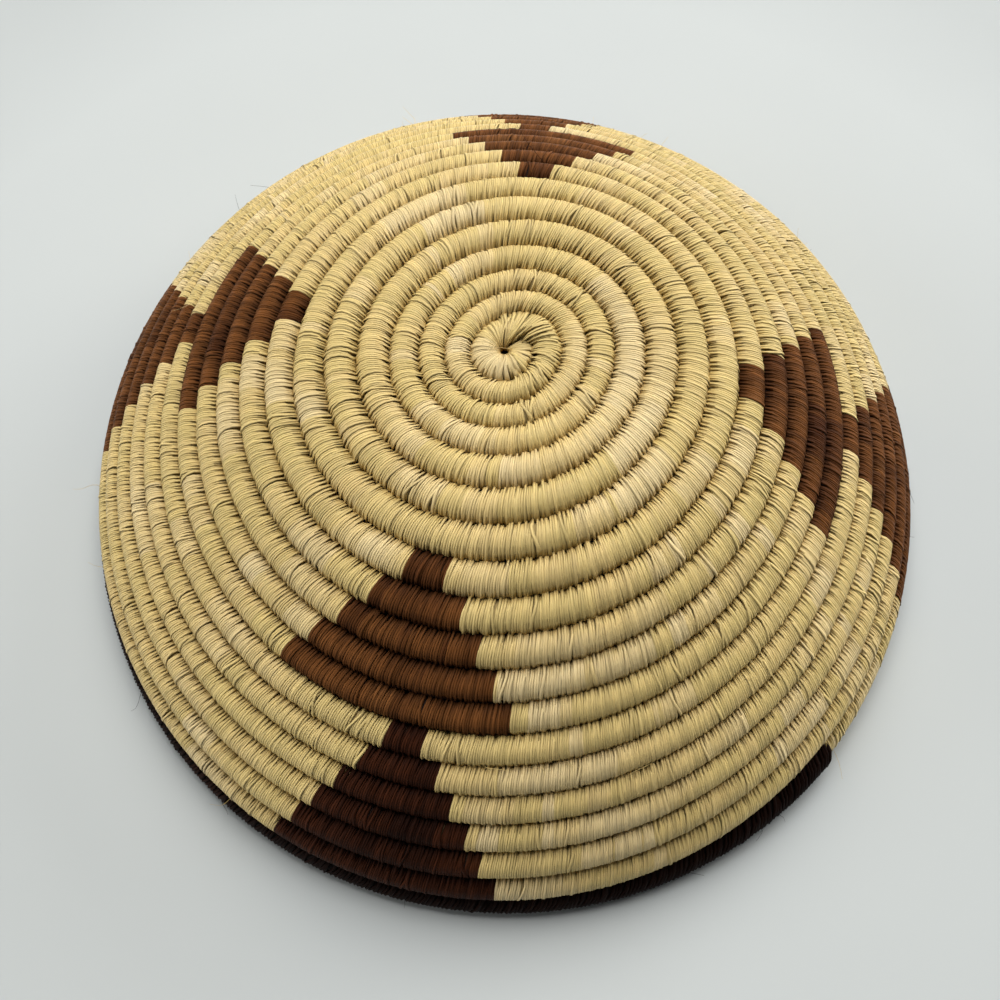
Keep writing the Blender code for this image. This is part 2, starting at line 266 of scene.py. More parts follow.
class BasketSettings(PropertyGroup):
    coil: PointerProperty(type=CoilShape)
    motifs: PointerProperty(type=MotifPattern)
    strands: PointerProperty(type=StrandSizes)
    fibres: PointerProperty(type=FibreSizes)
    colours: PointerProperty(type=BasketColours)
    studio: PointerProperty(type=StudioSettings)


def settings():
    return bpy.context.scene.basket_bowl


def smooth_step(values, start, end):
    """0 before start, 1 after end, and smooth between them."""
    ratio = np.clip((values - start) / (end - start), 0.0, 1.0)
    return ratio * ratio * (3.0 - 2.0 * ratio)


class Coil:
    """The spiral that the bundle follows, counted in turns from the middle."""

    def __init__(self, shape, motifs):
        self.shape = shape
        self.motifs = motifs
        self.rows = motifs.upper_rows + motifs.lower_rows
        self.rim_start = shape.base_rounds + self.rows + shape.rim_start_past_motifs
        self.end = self.rim_start + shape.rim_round_length
        last_free = float(self.free_edge(np.array([self.end - 1.0]))[0])
        self.rim_edge = last_free + shape.rim_end_width / (shape.coil_width * WIDTH_SHARES[-1][1])
        self.make_profile()
        self.make_length_table()

    def sway(self, turns):
        """How far the rounds lie off their even spiral in the direction of a turn."""
        shape = self.shape
        direction = self.direction(turns)
        once = np.cos(direction - shape.sideways_direction)
        twice = np.cos(2.0 * (direction - shape.oval_direction))
        return shape.sideways * once + shape.oval * twice

    def free_edge(self, turns):
        """Outer edge of the round at a turn, if there were no rim."""
        past = self.shape.base_rounds
        reach = np.maximum(turns - past, 0.0) / (self.rim_start - past)
        swing = FULL_TURN * (turns - self.rim_start)
        wave = sum(np.sin(n * swing) / n for n in (1, 2, 3)) / math.pi
        level = self.shape.rim_levelling * reach ** 2 * wave
        fade = 1.0 - np.minimum(reach, 1.0) ** self.shape.rim_fade_power
        fade = np.clip(turns + 0.5, 0.0, 1.0) * fade
        return turns + 0.5 + level + self.sway(turns) * fade

    def outer_edge(self, turns):
        free = np.maximum(self.free_edge(turns), 0.0)
        capped = np.where(turns > self.rim_start, self.rim_edge, np.minimum(free, self.rim_edge))
        return np.where(turns > self.rim_start - 0.5, capped, free)

    def inner_edge(self, turns):
        """Inner edge of the round. The second one opens past the coil's own start."""
        start = self.shape.coil_start
        opened = smooth_step(turns, 1.0 + start - 0.09, 1.0 + start + 0.07)
        return self.outer_edge(turns - 1.0) * np.where(turns < 2.0, opened, 1.0)

    def make_profile(self):
        """Radius and height of the bowl's middle surface against the round number."""
        shape = self.shape
        self.rounds = np.linspace(0.0, self.rim_edge, PROFILE_STEPS)
        step = self.rounds[1]
        places, width_shares = np.array(WIDTH_SHARES).T
        widths = np.interp(self.rounds, places, width_shares) * self.shape.coil_width
        lengths = np.cumsum(widths) * step
        base_edge = np.interp(shape.base_edge_round, self.rounds, lengths)
        shares, slopes = np.array(WALL_SLOPES).T
        corners = base_edge + shares * (lengths[-1] - base_edge)
        slope = np.interp(lengths, corners, np.radians(slopes))
        radii = np.cumsum(widths * np.cos(slope)) * step
        drops = np.cumsum(widths * np.sin(slope)) * step
        self.radii = radii - radii[0] + shape.hole_radius
        self.heights = drops[-1] - drops

    def direction(self, turns):
        return QUARTER_TURN - FULL_TURN * turns

    def profile_point(self, rounds, direction):
        oval = 1.0 - self.shape.ovality * rounds / self.rim_edge * np.cos(2.0 * direction)
        radius = np.interp(rounds, self.rounds, self.radii) * oval
        return np.stack((radius, np.interp(rounds, self.rounds, self.heights)), -1)

    def sections(self, turns):
        """Middle, across direction and half width of the coil's section at each turn."""
        direction = self.direction(turns)
        inner = self.profile_point(self.inner_edge(turns), direction)
        outer = self.profile_point(self.outer_edge(turns), direction)
        run = outer - inner
        width = np.hypot(run[:, 0], run[:, 1])
        return (inner + outer) / 2.0, run / width[:, None], width / 2.0

    def half_thickness(self, turns, half_width):
        """Half the height of the section, no more than usual on the wide first round."""
        start = self.shape.coil_start
        capped = np.minimum(half_width, 0.5 * self.shape.coil_width * WIDTH_SHARES[1][1])
        thick = np.where(turns < 1.0 + start, capped, half_width) * self.shape.thickness_share
        return thick * (0.5 + 0.5 * smooth_step(turns, start - 0.02, start + 0.25))

    def make_length_table(self):
        """Length along the coil's middle against turns."""
        count = int((self.end - self.shape.coil_start) * COIL_STEPS_PER_ROUND)
        self.table_turns = np.linspace(self.shape.coil_start, self.end, count)
        middle = self.sections(self.table_turns)[0]
        steps = np.diff(self.table_turns) * FULL_TURN * (middle[1:, 0] + middle[:-1, 0]) / 2.0
        self.table_lengths = np.concatenate(((0.0,), np.cumsum(steps)))

    def at_length(self, lengths):
        return np.interp(lengths, self.table_lengths, self.table_turns)

    def length_at(self, turns):
        return np.interp(turns, self.table_turns, self.table_lengths)

    def brown_row(self, motif, row):
        """Direction of a brown row's middle and its width, rows counted from 1 at the top."""
        motifs = self.motifs
        place = MOTIFS.index(motif)
        if row <= motifs.upper_rows:
            width = motifs.upper_first + motifs.upper_growth * (row - 1)
            return motifs.upper_directions[place], width * motifs.upper_shares[place]
        width = motifs.lower_first + motifs.lower_growth * (row - 1 - motifs.upper_rows)
        return motifs.lower_directions[place], width * motifs.lower_shares[place]

    def brown_runs(self):
        """Every brown run as (start turn, end turn, motif, row), in coil order."""
        runs = []
        for row in range(1, self.rows + 1):
            for motif in MOTIFS:
                about = self.shape.base_rounds + row - 1 + self.motifs.middle_in_round
                direction, width = self.brown_row(motif, row)
                fraction = (QUARTER_TURN - direction) / FULL_TURN
                middle = fraction + round(about - fraction)
                radius = self.sections(np.array([middle]))[0][0, 0]
                half = width / 2.0 / (FULL_TURN * radius)
                runs.append((middle - half, middle + half, motif, row))
        return sorted(runs)

    def pale_runs(self):
        """The pale run after each brown one, named by the brown one before it."""
        brown = self.brown_runs()
        ends = [run[0] for run in brown[1:]] + [self.rim_start]
        return [(run[1], end, run[2], run[3]) for run, end in zip(brown, ends)]


def triangles(coil):
    """Each triangle's number, motif, part and rows."""
    split = coil.motifs.upper_rows
    rows = {"upper": range(1, split + 1), "lower": range(split + 1, coil.rows + 1)}
    for number, (motif, part) in enumerate(product(MOTIFS, rows)):
        yield number, motif, part, rows[part]


def runs_of(runs, motif, rows):
    return [run[:2] for run in runs if run[2] == motif and run[3] in rows]


def current_coil():
    return Coil(settings().coil, settings().motifs)


def math_step(operation, swapped=False):
    """A method that works out one operation of a Field and perhaps another value."""

    def method(self, *others):
        return self.made(operation, *((*others, self) if swapped else (self, *others)))

    return method


class Field:
    """A number that math nodes work out, written as plain arithmetic."""

    def __init__(self, tree, socket):
        self.tree = tree
        self.socket = socket

    def made(self, operation, *values):
        links = dict(enumerate(values))
        return NodeTree(self.tree).node("ShaderNodeMath", links, operation=operation)

    __add__ = math_step("ADD")
    __radd__ = math_step("ADD", swapped=True)
    __sub__ = math_step("SUBTRACT")
    __rsub__ = math_step("SUBTRACT", swapped=True)
    __mul__ = math_step("MULTIPLY")
    __rmul__ = math_step("MULTIPLY", swapped=True)
    __truediv__ = math_step("DIVIDE")
    __pow__ = math_step("POWER")
    cos = math_step("COSINE")
    sin = math_step("SINE")
    size = math_step("ABSOLUTE")
    at_least = math_step("MAXIMUM")


class NodeTree:
    """What the trees of shapes, of materials and of the world share."""

    def __init__(self, tree):
        self.tree = tree

    def node(self, kind, links=None, output=0, **values):
        """One output of a new node with some properties set and some inputs linked or set."""
        made = self.tree.nodes.new(kind)
        for key, value in values.items():
            setattr(made, key, value)
        for key, value in (links or {}).items():
            self.link(value, made.inputs[key])
        return Field(self.tree, made.outputs[output])

    def link(self, value, socket):
        if isinstance(value, Field):
            self.tree.links.new(value.socket, socket)
        else:
            socket.default_value = value

    def seen_by_camera(self, amount, usual, seen):
        """The usual surface, and for rays from the camera the amount of the one seen."""
        ray = self.node("ShaderNodeLightPath", output="Is Camera Ray")
        return self.node("ShaderNodeMixShader", {0: ray * amount, 1: usual, 2: seen})


class GeometryTree(NodeTree):
    """A geometry node tree with an input for each named value."""

    KINDS = {int: "Int", float: "Float", bpy.types.Material: "Material"}

    def __init__(self, name, values):
        super().__init__(bpy.data.node_groups.new(name, "GeometryNodeTree"))
        self.tree.is_modifier = True
        face = self.tree.interface
        face.new_socket("Geometry", in_out="INPUT", socket_type="NodeSocketGeometry")
        face.new_socket("Geometry", in_out="OUTPUT", socket_type="NodeSocketGeometry")
        self.values = {}
        for key, value in values.items():
            kind = "NodeSocket" + self.KINDS[type(value)]
            socket = face.new_socket(key, in_out="INPUT", socket_type=kind)
            self.values[socket.identifier] = value
        self.inputs = self.tree.nodes.new("NodeGroupInput").outputs

    def input(self, name):
        return Field(self.tree, self.inputs[name])

    def attribute(self, name, kind="FLOAT"):
        return self.node("GeometryNodeInputNamedAttribute", {"Name": name}, data_type=kind)

    def stored(self, geometry, name, value):
        links = {"Geometry": geometry, "Name": name, "Value": value}
        return self.node(
            "GeometryNodeStoreNamedAttribute", links, data_type="FLOAT", domain="POINT"
        )

    def random(self, low, high, seed):
        links = {2: low, 3: high, "Seed": seed}
        return self.node("FunctionNodeRandomValue", links, output=1, data_type="FLOAT")

    def points(self):
        return self.node("GeometryNodeMeshToPoints", {"Mesh": self.input("Geometry")})

    def on_points(self, points, shape):
        """The shape at every point, as one real mesh or curve."""
        each = self.node("GeometryNodeInstanceOnPoints", {"Points": points, "Instance": shape})
        return self.node("GeometryNodeRealizeInstances", {"Geometry": each})

    def moved(self, geometry, place):
        return self.node("GeometryNodeSetPosition", {"Geometry": geometry, "Position": place})

    def finish(self, geometry):
        smooth = self.node("GeometryNodeSetShadeSmooth", {"Geometry": geometry})
        links = {"Geometry": smooth, "Material": self.input("material")}
        ends = self.tree.nodes.new("NodeGroupOutput").inputs["Geometry"]
        self.link(self.node("GeometryNodeSetMaterial", links), ends)
        return self


def strand_tree(values):
    """Winds one closed strand round the coil at each point of the input."""
    made = GeometryTree("Wound strands", values)
    factor = made.node("GeometryNodeSplineParameter")
    loop = made.node("GeometryNodeCurvePrimitiveCircle", {"Resolution": made.input("loop_points")})
    corner = made.node("GeometryNodeCurvePrimitiveCircle", {"Resolution": 3})
    tube = made.node("GeometryNodeCurveToMesh", {
        "Curve": made.stored(loop, "around", factor),
        "Profile Curve": made.stored(corner, "corner", factor),
    })
    points = made.points()
    for offset, (name, (low, high)) in enumerate(STRAND_SHARES.items()):
        random = made.random(low, high, made.input("seed") + offset)
        points = made.stored(points, name, random)
    real = made.on_points(points, tube)

    each, given = made.attribute, made.input
    turned = each("around") * FULL_TURN
    across, rise = turned.cos(), turned.sin()
    reach = (across.size() ** SQUARENESS + rise.size() ** SQUARENESS) ** (-1.0 / SQUARENESS)
    across, rise = across * reach, rise * reach
    groove = across.size() ** 3.0
    # stored for the materials, which paint shade near the grooves with it
    real = made.stored(real, "groove", groove)
    corner_turn = each("corner") * FULL_TURN + QUARTER_TURN
    real = made.stored(real, "side", corner_turn.cos())
    # a strand is a three-sided tube, so its corners lie further out than its faces
    crest = corner_turn.sin() * given("rise") * each("rise_share")
    narrow = 1.0 - given("taper") * groove
    sideways = corner_turn.cos() * given("width") * each("width_share")
    sideways = sideways * narrow * (0.5 / math.cos(math.radians(30.0)))
    drift = given("lean") * (1.0 + each("lean_share") * LEAN_UNEVEN) * across * 0.5
    drift = drift + given("bow") * (1.0 - across * across)
    drift = drift + each("gather_offset") * given("gather") * groove
    along = sideways + drift + each("stray") * rise * across
    half_width = each("half_width")
    bite = given("bite") * each("bite_share") * (across * -1.0).at_least(0.0) ** 3.0
    past = given("reach") * each("reach_share") * across.at_least(0.0) ** 3.0
    lifted = crest + each("proud") * rise.at_least(0.0)
    off_across = across * (half_width + lifted) - bite + past
    off_wall = rise * (each("half_thickness") + lifted)
    across_radius, across_height = each("across_radius"), each("across_height")
    middle_radius = each("middle_radius")
    radius = middle_radius + across_radius * off_across - across_height * off_wall
    height = each("middle_height") + across_height * off_across
    height = (height + across_radius * off_wall).at_least(LOWEST_STRAND)
    direction = each("direction") - along / middle_radius
    pull = (1.0 - radius / given("hole_reach")).at_least(0.0)
    place = made.node("ShaderNodeCombineXYZ", {
        "X": radius * direction.cos() + given("hole_shift_x") * pull,
        "Y": radius * direction.sin() + given("hole_shift_y") * pull,
        "Z": height,
    })
    return made.finish(made.moved(real, place))


def fibre_tree(values):
    """Grows one thin curved fibre from each point of the input."""
    made = GeometryTree("Loose fibres", values)
    line = made.node("GeometryNodeCurvePrimitiveLine")
    fine = made.node("GeometryNodeResampleCurve", {"Curve": line, "Count": FIBRE_POINTS})
    hair = made.stored(fine, "grown", made.node("GeometryNodeSplineParameter"))
    real = made.on_points(made.points(), hair)
    far = made.attribute("grown")
    place = made.attribute("root", "FLOAT_VECTOR")
    for name, amount in (
        ("heading", far), ("curl", far * far), ("wave", (far * 7.0).sin() * far),
    ):
        vector = {0: made.attribute(name, "FLOAT_VECTOR"), "Scale": amount}
        grown = made.node("ShaderNodeVectorMath", vector, operation="SCALE")
        place = made.node("ShaderNodeVectorMath", {0: place, 1: grown}, operation="ADD")
    radius = made.input("thickness") * 0.5
    profile = made.node("GeometryNodeCurvePrimitiveCircle", {"Resolution": 3, "Radius": radius})
    line = made.node(
        "GeometryNodeSetCurveRadius", {"Curve": made.moved(real, place), "Radius": 1.0 - far * 0.6}
    )
    links = {"Curve": line, "Profile Curve": profile, "Scale": 1.0 - far * 0.6, "Fill Caps": True}
    return made.finish(made.node("GeometryNodeCurveToMesh", links))


def new_object(name, data):
    made = bpy.data.objects.new(name, data)
    bpy.context.scene.collection.objects.link(made)
    return made


def grown_mesh(name, positions, attributes, tree):
    """Runs a geometry tree on points that carry attributes, and keeps the plain mesh."""
    source = bpy.data.meshes.new(name + "_points")
    source.from_pydata(positions, [], [])
    for key, numbers in attributes.items():
        vector = numbers.ndim == 2
        layer = source.attributes.new(key, "FLOAT_VECTOR" if vector else "FLOAT", "POINT")
        layer.data.foreach_set("vector" if vector else "value", numbers.astype(np.float32).ravel())
    holder = new_object(name + "_holder", source)
    modifier = holder.modifiers.new("grow", "NODES")
    modifier.node_group = tree.tree
    for identifier, value in tree.values.items():
        modifier[identifier] = value
    evaluated = holder.evaluated_get(bpy.context.evaluated_depsgraph_get())
    mesh = bpy.data.meshes.new_from_object(evaluated)
    bpy.data.objects.remove(holder)
    if not mesh.polygons:
        raise RuntimeError(f"{name} came out empty")
    mesh.name = name
    return new_object(name, mesh)


def numbers_of(mesh, name):
    """What one attribute says at each point of a mesh."""
    values = np.zeros(len(mesh.vertices), np.float32)
    mesh.attributes[name].data.foreach_get("value", values)
    return values


def lay_out_strands(mesh, strands, loop_points):
    """Gives each strand its own cell of the piece's map, row by row."""
    corners = np.zeros(len(mesh.loops), np.int32)
    mesh.loops.foreach_get("vertex_index", corners)
    first = corners[:len(corners) // strands]
    if first.max() >= len(mesh.vertices) // strands:
        raise RuntimeError("the strands aren't laid out one after another")
    first = first.reshape(len(mesh.polygons) // strands, -1)
    columns = math.ceil(math.sqrt(strands))
    index = np.arange(strands)
    cell = []
    for name, count, place in (
        ("around", loop_points, index % columns), ("corner", 3, index // columns),
    ):
        found = numbers_of(mesh, name)[first]
        last = found.max(1, keepdims=True) > 1.0 - 1.5 / count
        inside = np.where((found < 0.5 / count) & last, 1.0, found).ravel()
        inside = CELL_MARGIN + (1.0 - 2.0 * CELL_MARGIN) * inside[None, :]
        cell.append(((place[:, None] + inside) / columns).ravel())
    layer = mesh.uv_layers.new(name=BAKE_MAP)
    layer.uv.foreach_set("vector", np.stack(cell, -1).astype(np.float32).ravel())


def strand_places(coil, runs, spacing, centre_spacing, random):
    """Turns at which the strands of some runs lie, and what differs from one to the next.

    Strands draw together in groups, and every other group reaches further over the
    groove, so the grooves run zigzag. A tone lasts from one splice to the next.
    """
    parts = []
    for start, end in runs:
        low, high = coil.length_at(np.array((start, end)))
        mean_spacing = centre_spacing if end <= CLOSER_WOUND_UNTIL else spacing
        count = max(int(round((high - low) / mean_spacing)), 2)
        lengths = low + (np.arange(count) + 0.5) * (high - low) / count
        lengths += random.uniform(-UNEVEN_SPACING, UNEVEN_SPACING, count) * mean_spacing
        groups = np.repeat(np.arange(count), random.choice(GROUP_SIZES, count))[:count]
        middles = (np.bincount(groups, lengths) / np.maximum(np.bincount(groups), 1))[groups]
        every_other = (groups % 2) * 2.0 - 1.0
        splices = np.cumsum(random.random(count) < SPLICE_CHANCE)
        tone = random.random(splices[-1] + 1)[splices]
        bites, reaches = (
            usual + by_groups * every_other + random.normal(0.0, at_random, count)
            for usual, by_groups, at_random in (BITES, REACHES)
        )
        parts.append((coil.at_length(lengths), middles - lengths, tone, bites, reaches))
    return [np.concatenate(part) for part in zip(*parts)]


def wind(name, runs, material, nodes, slot, seed, spacing=None, **sizes):
    """Winds the strands of one piece and stands it for its solids in the frame."""
    coil = current_coil()
    strands = settings().strands
    random = np.random.default_rng((strands.seed, seed))
    turns, offsets, tones, bites, reaches = strand_places(
        coil, runs, spacing or strands.spacing, strands.centre_spacing, random
    )
    count = len(turns)
    near_middle = 1.0 - smooth_step(turns, *MIDDLE_FADE)
    middle, across, half_width = coil.sections(
        turns + random.normal(0.0, UNEVEN_TURNS, count) * near_middle
    )
    # the rim tapers at its very end
    ended = 1.0 - 0.35 * smooth_step(turns, coil.end - 0.02, coil.end)
    rare = random.random(count) < STRAY_SHARE + STRAY_SHARE_NEAR_MIDDLE * near_middle
    attributes = {
        "direction": coil.direction(turns),
        "middle_radius": middle[:, 0],
        "middle_height": middle[:, 1],
        "across_radius": across[:, 0],
        "across_height": across[:, 1],
        "half_width": half_width * ended,
        "half_thickness": coil.half_thickness(turns, half_width) * ended,
        "gather_offset": offsets,
        "stray": np.where(rare, random.normal(0.0, STRAY_DISTANCE, count), 0.0),
        "proud": np.where(rare, STRAY_HEIGHT, 0.0) + random.uniform(0.0, UNEVEN_HEIGHT, count),
        "tone": tones,
        "bite_share": bites * smooth_step(turns, 1.0, 1.3),
        "reach_share": reaches,
        "jitter": random.random(count),
    }
    values = {key: getattr(strands, key) for key in WOUND_BY}
    values.update(
        hole_shift_x=coil.shape.hole_shift[0],
        hole_shift_y=coil.shape.hole_shift[1],
        hole_reach=coil.shape.hole_reach,
        seed=strands.seed + 10 * seed,
        material=material,
    )
    values.update(sizes)
    made = grown_mesh(name, np.zeros((count, 3)), attributes, strand_tree(values))
    lay_out_strands(made.data, count, strands.loop_points)
    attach(made, "root")
    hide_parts(*nodes)


class Shader(NodeTree):
    """A material under construction."""

    def __init__(self, name, roughness, sheen=0.5):
        self.material = bpy.data.materials.new(name)
        self.material.use_nodes = True
        super().__init__(self.material.node_tree)
        self.surface = self.tree.nodes["Principled BSDF"]
        self.surface.inputs["Roughness"].default_value = roughness
        self.surface.inputs["Specular IOR Level"].default_value = sheen

    def attribute(self, name):
        details = {"attribute_name": name, "attribute_type": "GEOMETRY"}
        return self.node("ShaderNodeAttribute", output="Fac", **details)

    def object_place(self):
        return self.node("ShaderNodeTexCoord", output="Object")

    def noise(self, scale, detail, place=None):
        links = {"Vector": place or self.object_place(), "Scale": scale, "Detail": detail}
        return self.node("ShaderNodeTexNoise", links)

    def ramp(self, factor, stops):
        """A colour ramp through (position, colour) stops."""
        made = self.node("ShaderNodeValToRGB", {"Fac": factor})
        elements = made.socket.node.color_ramp.elements
        while len(elements) < len(stops):
            elements.new(0.5)
        for element, (position, rgb) in zip(elements, stops):
            element.position = position
            element.color = (*rgb, 1.0)
        return made

    def mixed(self, factor, *colours):
        links = {0: factor}
        for key, rgb in zip((6, 7), colours):
            links[key] = rgb if isinstance(rgb, Field) else (*rgb, 1.0)
        return self.node("ShaderNodeMix", links, output=2, data_type="RGBA")

    def scaled(self, rgb, amount):
        return self.node("ShaderNodeVectorMath", {0: rgb, "Scale": amount}, operation="SCALE")

    def finish(self, rgb, bump=None, height=0.0):
        self.link(rgb, self.surface.inputs["Base Color"])
        if bump is not None:
            links = {"Height": bump, "Distance": height, "Strength": 1.0}
            self.link(self.node("ShaderNodeBump", links), self.surface.inputs["Normal"])
        return self.material


def strand_material(
    name, stops, groove="rim", groove_shade_power=0.75, roughness=0.50, sheen=0.04, contrast=0.42
):
    """Plant strands: a tone for each spliced length, a shade for each wind, and painted shade
    towards the grooves.

    The stops are positions and names of colours. A material that is there already is kept.
    """
    if name in bpy.data.materials:
        return bpy.data.materials[name]
    colours = settings().colours
    shader = Shader(name, roughness, sheen)
    patches = shader.noise(26.0, 3.0)
    tone = shader.attribute("tone") * 0.40 + patches * 0.9 - 0.15
    base = shader.ramp(tone, [(position, getattr(colours, each)) for position, each in stops])
    # fine fibres: a few across a strand, long ones along it, and others on each strand
    jitter = shader.attribute("jitter")
    place = shader.node("ShaderNodeCombineXYZ", {
        "X": shader.attribute("side") * 2.2,
        "Y": shader.attribute("around") * 5.0,
        "Z": jitter * 90.0,
    })
    fine = shader.noise(1.0, 2.0, place)
    shade = 1.0 - contrast * 0.8 + jitter * contrast * 1.6 + (fine - 0.5) * contrast * 3.0
    base = shader.scaled(base, shade)
    # painted shade: near the grooves the colour is mixed towards the colour named by groove, near
    # black for the brown strands
    groove_shade = shader.attribute("groove") ** groove_shade_power * 0.9
    base = shader.mixed(groove_shade, base, getattr(colours, groove))
    return shader.finish(base, fine, 0.00012)


def pale_material():
    stops = (
        (0.0, "old_straw"), (0.22, "straw"), (0.40, "green_straw"), (0.55, "straw"),
        (0.75, "light_straw"), (0.92, "straw"), (1.0, "pink_straw"),
    )
    return strand_material(
        "pale strands", stops, "groove", groove_shade_power=1.8, sheen=0.30, contrast=0.15
    )


def brown_material():
    stops = ((0.10, "dark_brown"), (0.45, "brown"), (0.70, "brown"), (0.95, "light_brown"))
    return strand_material("brown strands", stops)


def shaded_brown_material():
    # painted shade: brown painted darker, for the triangle in shade low on the front wall
    stops = ((0.10, "rim"), (0.45, "dark_brown"), (0.75, "dark_brown"), (1.0, "brown"))
    return strand_material("dark brown strands", stops)


def rim_material():
    stops = ((0.1, "rim"), (0.7, "rim"), (1.0, "dark_brown"))
    return strand_material(
        "rim strands", stops, groove_shade_power=2.0, roughness=0.60, sheen=0.06, contrast=0.30
    )


def bundle_material():
    """Grass streaks, darkened under the brown runs and the rim: partly the dark of the dye there,
    partly painted shade in the gaps between those strands.
    """
    colours = settings().colours
    shader = Shader("grass bundle", 0.85)
    streaks = shader.noise(420.0, 3.0)
    # partly painted shade: the bundle is mixed towards the rim colour under the brown runs and the
    # rim
    shade = shader.mixed(shader.attribute("dyed"), colours.bundle, colours.rim)
    return shader.finish(shader.scaled(shade, streaks * 1.2 + 0.4), streaks, 0.0002)


def bundle_mesh(coil, turns, sides):
    """A closed tube along the coil, thinner at both ends and near the middle."""
    middle, across, half_width = coil.sections(turns)
    ends = smooth_step(turns, turns[0], turns[0] + 0.1)
    ends = 0.2 + 0.8 * ends * (1.0 - smooth_step(turns, turns[-1] - 0.01, turns[-1]))
    fill = 0.93 - 0.2 * (1.0 - smooth_step(turns, 1.25, 1.5))
    half_width = half_width * fill * ends
    turned = np.arange(sides) * FULL_TURN / sides
    off_across = np.cos(turned)[None, :] * half_width[:, None]
    off_wall = np.sin(turned)[None, :] * coil.half_thickness(turns, half_width)[:, None]
    radius = middle[:, :1] + across[:, :1] * off_across - across[:, 1:] * off_wall
    height = middle[:, 1:] + across[:, 1:] * off_across + across[:, :1] * off_wall
    direction = coil.direction(turns)[:, None]
    pull = np.maximum(1.0 - radius / coil.shape.hole_reach, 0.0)
    hole = coil.shape.hole_shift
    x = radius * np.cos(direction) + hole[0] * pull
    y = radius * np.sin(direction) + hole[1] * pull
    points = np.stack((x, y, np.maximum(height, LOWEST_GRASS)), -1).reshape(-1, 3)
    last = len(points) - sides
    faces = [
        (first + side, first + after, first + sides + after, first + sides + side)
        for first in range(0, last, sides)
        for side, after in zip(range(sides), (*range(1, sides), 0))
    ]
    faces.append(tuple(reversed(range(sides))))
    faces.append(tuple(range(last, last + sides)))
    mesh = bpy.data.meshes.new("grass_bundle")
    mesh.from_pydata(points, [], faces)
    mesh.shade_smooth()
    return mesh


def turned_pair(first, second, turn):
    """Two axes at right angles, the first turned by an angle towards the second."""
    return (
        first * math.cos(turn) + second * math.sin(turn),
        second * math.cos(turn) - first * math.sin(turn),
    )


class StagePiece:
    """What all the operators share."""

    bl_options = {"REGISTER", "UNDO"}


class BASKET_OT_core(StagePiece, Operator):
    """Makes the grass bundle that the strands are wound round"""

    bl_idname = "basket.core"
    bl_label = "Grass bundle"

    def execute(self, context):
        coil = current_coil()
        steps, sides = 96, 10
        count = int((coil.end - coil.shape.coil_start) * steps)
        turns = np.linspace(coil.shape.coil_start + 0.004, coil.end - 0.003, count)
        mesh = bundle_mesh(coil, turns, sides)
        # partly painted shade: marks where the bundle shows near black, for the dye over it and
        # for the shade in the gaps between the strands there
        dyed = (turns > coil.rim_start).astype(np.float32)
        for start, end in (run[:2] for run in coil.brown_runs()):
            dyed[(turns > start) & (turns < end)] = 1.0
        layer = mesh.attributes.new("dyed", "FLOAT", "POINT")
        layer.data.foreach_set("value", np.repeat(dyed, sides))
        mesh.materials.append(bundle_material())
        made = new_object("grass_bundle", mesh)
        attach(made, "root")
        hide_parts("foundation_coil")
        return {"FINISHED"}


class BASKET_OT_base(StagePiece, Operator):
    """Winds the pale strands of the base, from the hole to the first brown row"""

    bl_idname = "basket.base"
    bl_label = "Base wrapping"

    def execute(self, context):
        coil = current_coil()
        places = (coil.shape.coil_start, CLOSER_WOUND_UNTIL, coil.brown_runs()[0][0])
        runs = list(zip(places, places[1:]))
        wind("base_wrapping", runs, pale_material(), ["base_wrap"], "natural_raffia", seed=1)
        return {"FINISHED"}


class BASKET_OT_wall(StagePiece, Operator):
    """Winds the pale strands of the wall, between the motifs"""

    bl_idname = "basket.wall"
    bl_label = "Wall wrapping"

    def execute(self, context):
        coil = current_coil()
        for number, motif, part, rows in triangles(coil):
            nodes = [f"wall_wrap_{motif}_{row:02d}" for row in rows]
            wind(f"pale_wrapping_{motif}_{part}", runs_of(coil.pale_runs(), motif, rows),
                 pale_material(), nodes, "natural_raffia", seed=10 + number)
        return {"FINISHED"}


class BASKET_OT_motifs(StagePiece, Operator):
    """Winds the brown strands of the four stepped motifs"""

    bl_idname = "basket.motifs"
    bl_label = "Brown motifs"

    def execute(self, context):
        coil = current_coil()
        for number, motif, part, rows in triangles(coil):
            # painted shade: the triangle in shade on the front gets the darker brown
            shaded_front = (motif, part) == SHADED_FRONT_TRIANGLE
            wind(f"brown_wrapping_{motif}_{part}", runs_of(coil.brown_runs(), motif, rows),
                 shaded_brown_material() if shaded_front else brown_material(),
                 [f"{motif}_motif_{part}"], "brown_raffia", seed=30 + number)
        return {"FINISHED"}


class BASKET_OT_rim(StagePiece, Operator):
    """Winds the dark slanting strands of the rim"""

    bl_idname = "basket.rim"
    bl_label = "Rim wrapping"

    def execute(self, context):
        coil = current_coil()
        strands = settings().strands
        wind("rim_wrapping", [(coil.rim_start, coil.end)], rim_material(), ["rim_wrap"],
             "dark_raffia", spacing=strands.rim_spacing, seed=50, width=strands.rim_width,
             rise=strands.rim_rise, lean=strands.rim_lean)
        return {"FINISHED"}


